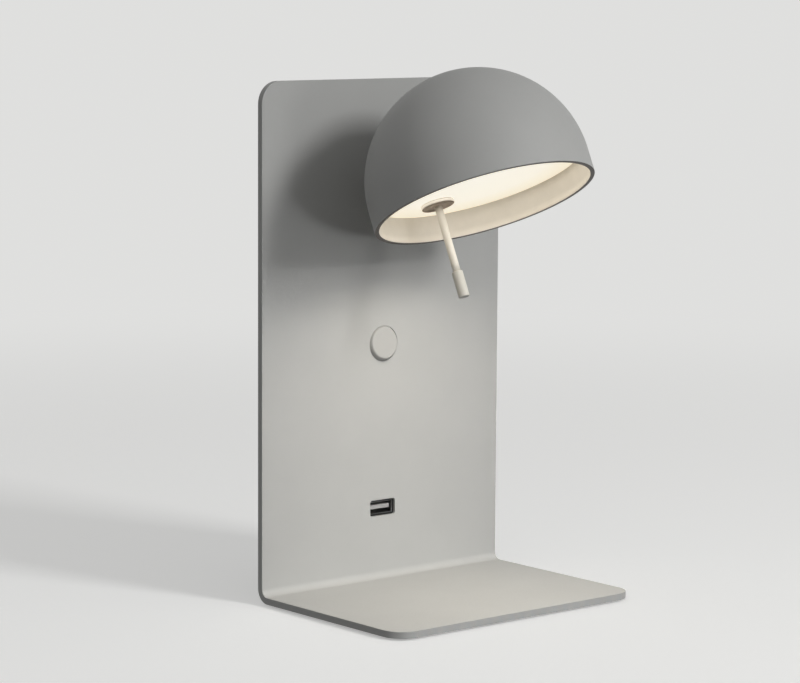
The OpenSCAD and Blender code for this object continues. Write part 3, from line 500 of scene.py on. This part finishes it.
def make_button(material):
    """The rocker's cap with a rounded face and a ball-shaped side, its post and two trunnions."""
    joint = next(j for j in frame["joints"] if j["child"] == "button")
    tilt = math.radians(joint["range_deg"][1]) / 2
    place = (Matrix.Translation(joint["pos_m"]) @ Matrix.Rotation(-tilt, 4, "X")
             @ Matrix.Rotation(math.radians(90), 4, "X"))
    points = np.array([place.inverted() @ v.co for v in nodes["rocker_button"].data.vertices])
    width, depth = np.abs(points[:, :2]).T
    height = points[:, 2]
    # The face's radius and the back of the ball-shaped side are read from the solid's points
    reach = height.max()
    face_r = np.hypot(width, depth)[height > reach - 0.01 * MM].max()
    ball_r = math.hypot(face_r, reach)
    skirt_back = height[depth > 0.9 * ball_r].min()
    hollow_r = face_r - BUTTON_WALL
    edge_turn = math.asin((reach - BUTTON_EDGE) / (ball_r - BUTTON_EDGE))
    edge_at = ((ball_r - BUTTON_EDGE) * math.cos(edge_turn), reach - BUTTON_EDGE)
    ball_from = math.degrees(edge_turn)
    ball_to = math.degrees(math.asin(skirt_back / ball_r))
    profile = [(0, reach), (face_r - 3 * BUTTON_EDGE, reach)]
    profile += arc(edge_at, BUTTON_EDGE, 90, ball_from, BUTTON_EDGE_STEPS)
    profile += arc((0, 0), ball_r, ball_from, ball_to, BALL_STEPS)[1:]
    profile += [(hollow_r, skirt_back)]
    profile += [(hollow_r, reach - BUTTON_WALL), (BUTTON_POST, reach - BUTTON_WALL)]
    profile += [(BUTTON_POST, height.min()), (BUTTON_BORE, height.min())]
    profile += [(BUTTON_BORE, BUTTON_SEAT), (0, BUTTON_SEAT)]
    button = revolve("button_cap", profile, material, place, BUTTON_TURNS)
    pins = []
    for side in (-1, 1):
        root = hollow_r + BUTTON_EDGE
        tip = width.max()
        pin = [(0, root), (TRUNNION, root)]
        pin += [(TRUNNION, tip - TRUNNION_EDGE), (TRUNNION - TRUNNION_EDGE, tip), (0, tip)]
        sideways = Matrix.Rotation(math.radians(side * 90), 4, "Y")
        pins.append(revolve("trunnion", pin, material, place @ sideways, TRUNNION_TURNS))
    merge(button, pins)
    stands_for(button, "rocker_button", "button")


def make_shade(outside, inside, rim):
    """The dome with its straight skirt, a rim with painted shade, a cream inside and the slot for
    the lug.

    The rim's painted shade and the inside's paint each start on the last facet of an edge of the
    rim.
    """
    low, high = head_box("shade_shell")
    outer = (high.x - low.x) / 2
    inner = outer - DOME_WALL
    centre_z = high.z - outer
    foot = low.z - centre_z
    profile = arc((0, 0), outer, 90, 0, DOME_STEPS)
    profile[0] = (0, outer)
    skirt = [foot * step / SKIRT_STEPS for step in range(1, SKIRT_STEPS)]
    profile += [(outer, z) for z in skirt]
    profile += arc((outer - LIP_EDGE, foot + LIP_EDGE), LIP_EDGE, 0, -90, LIP_STEPS)
    rim_from = len(profile) - 2
    hem_r = inner - HEM.x
    profile += arc((hem_r + LIP_EDGE, foot + LIP_EDGE), LIP_EDGE, -90, -180, LIP_STEPS)
    inner_from = len(profile) - 2
    profile += [(hem_r, foot + HEM.y), (inner, foot + HEM.y + HEM.x)]
    profile += [(inner, z) for z in reversed(skirt[:-1])]
    profile += arc((0, 0), inner, 0, 90, DOME_STEPS)
    profile[-1] = (0, inner)
    place = head_axis("shade_shell", centre_z)
    shade = revolve("dome_shade", profile, outside, place, SHADE_TURNS)
    shade.data.materials.append(inside)
    shade.data.materials.append(rim)
    # The inside takes the cream paint, and the rim the painted shade
    for face in shade.data.polygons:
        step = face.index // SHADE_TURNS
        if step >= inner_from:
            face.material_index = 1
        elif step >= rim_from:
            face.material_index = 2
    cut_slot(shade)
    stands_for(shade, "shade_shell", "head")


def cut_slot(shade):
    """Cut the opening that the lug passes through, in the back of the dome."""
    lug_back = head_box("tilt_lug")[1].y
    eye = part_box("tilt_pin")
    pin = TO_HEAD @ ((eye[0] + eye[1]) / 2)
    middle = Vector((pin.x, lug_back - SLOT_IN, pin.z))
    corners = [middle + Vector((x * SLOT_HALF.x, y * SLOT_HALF.y, z * SLOT_HALF.z))
               for x in (-1, 1) for y in (-1, 1) for z in (-1, 1)]
    faces = [(0, 1, 3, 2), (4, 6, 7, 5), (0, 4, 5, 1), (2, 3, 7, 6), (0, 2, 6, 4), (1, 5, 7, 3)]
    mesh = bpy.data.meshes.new("slot")
    mesh.from_pydata([TO_HEAD.inverted() @ c for c in corners], [], faces)
    cutter = bpy.data.objects.new("slot", mesh)
    bpy.context.scene.collection.objects.link(cutter)
    cut = shade.modifiers.new("slot", "BOOLEAN")
    cut.object = cutter
    cut.solver = "EXACT"
    bpy.context.view_layer.update()
    shaped = bpy.data.meshes.new_from_object(
        shade.evaluated_get(bpy.context.evaluated_depsgraph_get()))
    shade.modifiers.clear()
    shade.data = shaped
    bpy.data.objects.remove(cutter)


def make_collar(material, painted_light_side):
    """The stick's round base: painted shade on its under side, painted light on its pale edge."""
    low, high = head_box("stick_collar")
    radius = (high.x - low.x) / 2
    drop = head_box("diffuser")[0].z - low.z
    edge = COLLAR_EDGE
    top_edge = COLLAR_TOP_EDGE
    top = high.z - low.z
    profile = [(COLLAR_BORE, 0), (COLLAR_BORE + edge, 0), (radius - edge, 0)]
    profile += arc((radius - edge, edge), edge, -90, 0, COLLAR_STEPS)
    profile += [(radius, drop - top_edge), (radius - top_edge, drop), (COLLAR_SLEEVE, drop)]
    profile += [(COLLAR_SLEEVE, top), (COLLAR_BORE, top), (COLLAR_BORE, 0)]
    collar = revolve("stick_base", profile, material, head_axis("stick_collar", low.z))
    collar.data.materials.append(painted_light_side)
    # The faces that look down keep the darker colour as painted shade; the rest take the pale paint
    # as painted light from the diffuser
    upwards = TO_HEAD.inverted() @ Vector((0, 0, 1))
    for face in collar.data.polygons:
        if face.normal.dot(upwards) > -0.8:
            face.material_index = 1
    stands_for(collar, "stick_collar", "head")


def make_stick(material):
    """The rod between knob and collar, thinner where it is screwed into them.

    A ring near each end of the bare rod keeps the shading even between them.
    """
    low, high = head_box("stick_rod")
    from_z = head_box("stick_knob")[1].z
    to_z = head_box("stick_collar")[0].z
    radius = (high.x - low.x) / 2
    thread = STICK_THREAD
    profile = [(0, low.z), (thread, low.z), (thread, from_z)]
    profile += [(radius, from_z), (radius, from_z + STICK_RING)]
    profile += [(radius, to_z - STICK_RING), (radius, to_z)]
    profile += [(thread, to_z), (thread, high.z), (0, high.z)]
    rod = revolve("stick_stem", profile, material, head_axis("stick_rod"), STICK_TURNS)
    stands_for(rod, "stick_rod", "head")


def make_knob(material, end_material):
    """The knob on the rod's lower end, rounded at both ends, with a darker end face."""
    low, high = head_box("stick_knob")
    radius = (high.x - low.x) / 2
    edge = KNOB_EDGE
    profile = [(0, low.z), (radius - 3 * edge, low.z)]
    profile += arc((radius - edge, low.z + edge), edge, -90, 0, KNOB_STEPS)
    profile += [(radius, low.z + KNOB_FLOOR), (radius, high.z - KNOB_FLOOR)]
    profile += arc((radius - edge, high.z - edge), edge, 0, 90, KNOB_STEPS)
    profile += [(KNOB_BORE, high.z), (KNOB_BORE, low.z + KNOB_FLOOR), (0, low.z + KNOB_FLOOR)]
    knob = revolve("stick_end", profile, material, head_axis("stick_knob"), STICK_TURNS)
    knob.data.materials.append(end_material)
    # The flat end face is the first two rings of faces
    for face in knob.data.polygons:
        if face.index < 2 * STICK_TURNS:
            face.material_index = 1
    stands_for(knob, "stick_knob", "head")


# ---- the stage ----

def light_from(name, turn, lift, size, power, distance=2.2, aim=(0, -0.05, 0), spread=180):
    """A square soft light in front of the plate, turned to the right and lifted by degrees."""
    data = bpy.data.lights.new(name, "AREA")
    data.size = size
    data.energy = power
    data.spread = math.radians(spread)
    made = bpy.data.objects.new(name, data)
    bpy.context.scene.collection.objects.link(made)
    direction = Matrix.Rotation(math.radians(turn), 3, "Z") @ Vector(
        (0, -math.cos(math.radians(lift)), math.sin(math.radians(lift))))
    made.location = Vector(aim) + direction * distance
    made.rotation_euler = direction.to_track_quat("Z", "Y").to_euler()
    return made


def mouth_light(name, power, receivers, spread):
    """The lamp's own light, from the diffuser's face to the receivers. It rides on the head."""
    low = head_box("diffuser")[0]
    data = bpy.data.lights.new(name, "AREA")
    data.shape = "DISK"
    data.size = MOUTH
    data.energy = power
    data.color = WARM
    data.spread = math.radians(spread)
    made = bpy.data.objects.new(name, data)
    made.visible_camera = False
    made.visible_glossy = False
    bpy.context.scene.collection.objects.link(made)
    shift = Matrix.Translation((*MOUTH_SHIFT, 0))
    made.matrix_world = head_axis("diffuser", low.z - MOUTH_GAP) @ shift
    group = bpy.data.collections.new(name)
    for piece in receivers:
        group.objects.link(piece)
    made.light_linking.receiver_collection = group
    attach(made, "head")
    return made


def seen_ray(tree):
    """1 for what the camera sees, also by way of metal or glass, and 0 for bounced light."""
    rays = tree.nodes.new("ShaderNodeLightPath")
    seen = rays.outputs["Is Camera Ray"]
    for kind in ("Is Glossy Ray", "Is Transmission Ray"):
        either = tree.nodes.new("ShaderNodeMath")
        either.operation = "MAXIMUM"
        tree.links.new(seen, either.inputs[0])
        tree.links.new(rays.outputs[kind], either.inputs[1])
        seen = either.outputs["Value"]
    return seen


def make_floor():
    """The plain pale floor, which keeps the lamp's shadow and runs into the backdrop."""
    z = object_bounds()[0].z - FLOOR_GAP
    corners = [(-1, -1), (1, -1), (1, 1), (-1, 1)]
    mesh = bpy.data.meshes.new("floor")
    mesh.from_pydata([(x * FLOOR_HALF, y * FLOOR_HALF, z) for x, y in corners], [], [(0, 1, 2, 3)])
    floor = bpy.data.objects.new("floor", mesh)
    bpy.context.scene.collection.objects.link(floor)
    s = Shader("floor")
    s.fixed(Roughness=0.9, Specular_IOR_Level=0.0, Emission_Color=(*BACKDROP, 1))
    seen = seen_ray(s.tree)
    s.colour(s.tint(seen, FLOOR_BOUNCE, BACKDROP))
    s.join(s.spread(seen, 0, FLOOR_LIFT, 0, 1), s.surface.inputs["Emission Strength"])
    far = s.node("ShaderNodeVectorMath")
    far.operation = "LENGTH"
    s.join(s.place, far.inputs[0])
    haze = s.node("ShaderNodeEmission", Color=(*BACKDROP, 1))
    s.join(seen, haze.inputs["Strength"])
    fade = s.tree.nodes.new("ShaderNodeMixShader")
    away = s.spread(far.outputs["Value"], 0, 1, *FLOOR_FADE)
    away.node.interpolation_type = "SMOOTHSTEP"
    s.join(away, fade.inputs["Fac"])
    s.join(s.surface.outputs["BSDF"], fade.inputs[1])
    s.join(haze.outputs["Emission"], fade.inputs[2])
    s.join(fade.outputs["Shader"], s.tree.nodes["Material Output"].inputs["Surface"])
    mesh.materials.append(s.material)
    floor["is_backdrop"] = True


def make_world():
    """Soft light from the sides that FILLS lists, and a backdrop of one colour."""
    world = bpy.data.worlds.new("studio")
    bpy.context.scene.world = world
    world.use_nodes = True
    tree = world.node_tree
    out = tree.nodes["World Output"]
    fill = tree.nodes["Background"]
    place = tree.nodes.new("ShaderNodeTexCoord")
    total = None
    for side, strength in FILLS:
        facing = tree.nodes.new("ShaderNodeVectorMath")
        facing.operation = "DOT_PRODUCT"
        facing.inputs[1].default_value = side
        tree.links.new(place.outputs["Generated"], facing.inputs[0])
        level = tree.nodes.new("ShaderNodeMapRange")
        level.inputs["To Max"].default_value = strength
        tree.links.new(facing.outputs["Value"], level.inputs["Value"])
        added = tree.nodes.new("ShaderNodeMath")
        added.operation = "ADD"
        added.inputs[1].default_value = 0
        tree.links.new(level.outputs["Result"], added.inputs[0])
        if total:
            tree.links.new(total, added.inputs[1])
        total = added.outputs["Value"]
    fill.inputs["Color"].default_value = (1, 1, 1, 1)
    tree.links.new(total, fill.inputs["Strength"])
    backdrop = tree.nodes.new("ShaderNodeBackground")
    backdrop.inputs["Color"].default_value = (*BACKDROP, 1)
    choose = tree.nodes.new("ShaderNodeMixShader")
    tree.links.new(seen_ray(tree), choose.inputs["Fac"])
    tree.links.new(fill.outputs["Background"], choose.inputs[1])
    tree.links.new(backdrop.outputs["Background"], choose.inputs[2])
    tree.links.new(choose.outputs["Shader"], out.inputs["Surface"])


def make_camera():
    """The camera at the photograph's viewing angle."""
    data = bpy.data.cameras.new("camera")
    data.lens = CAMERA_LENS
    data.sensor_width = SENSOR_WIDTH
    data.sensor_fit = "HORIZONTAL"
    camera = bpy.data.objects.new("camera", data)
    bpy.context.scene.collection.objects.link(camera)
    turn = (Matrix.Rotation(math.radians(-CAMERA_YAW), 4, "Z")
            @ Matrix.Rotation(math.radians(90 + CAMERA_PITCH), 4, "X")
            @ Matrix.Rotation(math.radians(CAMERA_ROLL), 4, "Z"))
    camera.matrix_world = Matrix.Translation(CAMERA_AT) @ turn
    bpy.context.scene.camera = camera


bpy.context.scene.view_settings.view_transform = "Standard"

# Materials by the record's slot names
diffuser_low, diffuser_high = head_box("diffuser")
glow_centre = TO_HEAD.inverted() @ Vector((
    (diffuser_low.x + diffuser_high.x) / 2, (diffuser_low.y + diffuser_high.y) / 2, diffuser_low.z))
glow_radius = (diffuser_high.x - diffuser_low.x) / 2
FINISHES = {
    "plate_paint": powder_coat("plate_paint", PAINT),
    "button_paint": powder_coat("button_paint", BUTTON_PAINT),
    "shade_paint": powder_coat("shade_paint", PAINT),
    "zinc_steel": plated_metal("zinc_steel", (0.62, 0.63, 0.64), 0.34),
    "dark_steel": plated_metal("dark_steel", (0.24, 0.24, 0.245), 0.4),
    # The socket's metal is painted far darker than plated metal, as painted shade inside the socket
    "usb_metal": plated_metal("usb_metal", (0.2, 0.2, 0.195), 0.36),
    "brass_metal": plated_metal("brass_metal", (0.74, 0.56, 0.26), 0.28),
    "bare_aluminium": cast_metal("bare_aluminium", (0.72, 0.73, 0.74)),
    "black_rubber": rubber("black_rubber", (0.022, 0.022, 0.023)),
    # Near black: the bezel's own black, and painted shade in the socket's opening
    "black_plastic": moulded_plastic("black_plastic", (0.011, 0.011, 0.012), 0.5, 0.22),
    "white_plastic": moulded_plastic("white_plastic", (0.78, 0.77, 0.73), 0.42),
    "grey_plastic": moulded_plastic("grey_plastic", (0.42, 0.415, 0.40), 0.42),
    "board_green": circuit_board("board_green", (0.012, 0.085, 0.035), (0.03, 0.17, 0.07)),
    "board_white": circuit_board("board_white", (0.82, 0.82, 0.80), (0.70, 0.70, 0.67)),
    "capacitor_sleeve": shrink_sleeve("capacitor_sleeve", (0.03, 0.045, 0.16)),
    "led_phosphor": phosphor("led_phosphor", (0.88, 0.66, 0.14)),
    "opal_diffuser": opal_glow("opal_diffuser", glow_centre, glow_radius),
    # The collar's brown-grey stands as painted shade on its under side
    "collar_finish": satin_finish("collar_finish", (0.57, 0.455, 0.345)),
    "stick_finish": satin_finish("stick_finish", (0.78, 0.745, 0.67)),
}
inside_paint = satin_finish("shade_inside", CREAM, 0.5)
# A dark colour on the rim, as painted shade
rim_painted_shade = satin_finish("painted_shade_rim", RIM_PAINTED_SHADE, 0.5)
knob_finish = satin_finish("knob_finish", (0.62, 0.605, 0.55))
knob_end = satin_finish("knob_end", (0.42, 0.42, 0.40))

for part in frame["record"]["subparts"]:
    cad_piece = nodes[part["node"]]
    cad_piece.data.materials.clear()
    cad_piece.data.materials.append(FINISHES[part["material_slot"]])
    if part["node"] in NO_EDGE_ROUND:
        soften(cad_piece, 0)
    else:
        soften(cad_piece, EDGE_ROUND.get(part["node"], EDGE_ROUND_SMALL))

make_camera()
make_button(FINISHES["button_paint"])
make_shade(FINISHES["shade_paint"], inside_paint, rim_painted_shade)
# The collar's side takes the pale inside paint as painted light from the diffuser
make_collar(FINISHES["collar_finish"], inside_paint)
make_stick(FINISHES["stick_finish"])
make_knob(knob_finish, knob_end)

make_floor()
make_world()
light_from("key", turn=16, lift=28, size=0.5, power=20.8)
light_from("shelf_light", turn=5, lift=0, size=0.25, power=0.095, distance=0.9,
           aim=(0, -0.05, -0.11), spread=30)

on_head = [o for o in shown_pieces() if body_of(o) == ["head"]]
off_head = [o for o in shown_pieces() if body_of(o) != ["head"]]
mouth_light("mouth_glow", power=0.0156, receivers=on_head, spread=180)
mouth_light("plate_glow", power=0.231, receivers=off_head, spread=160)
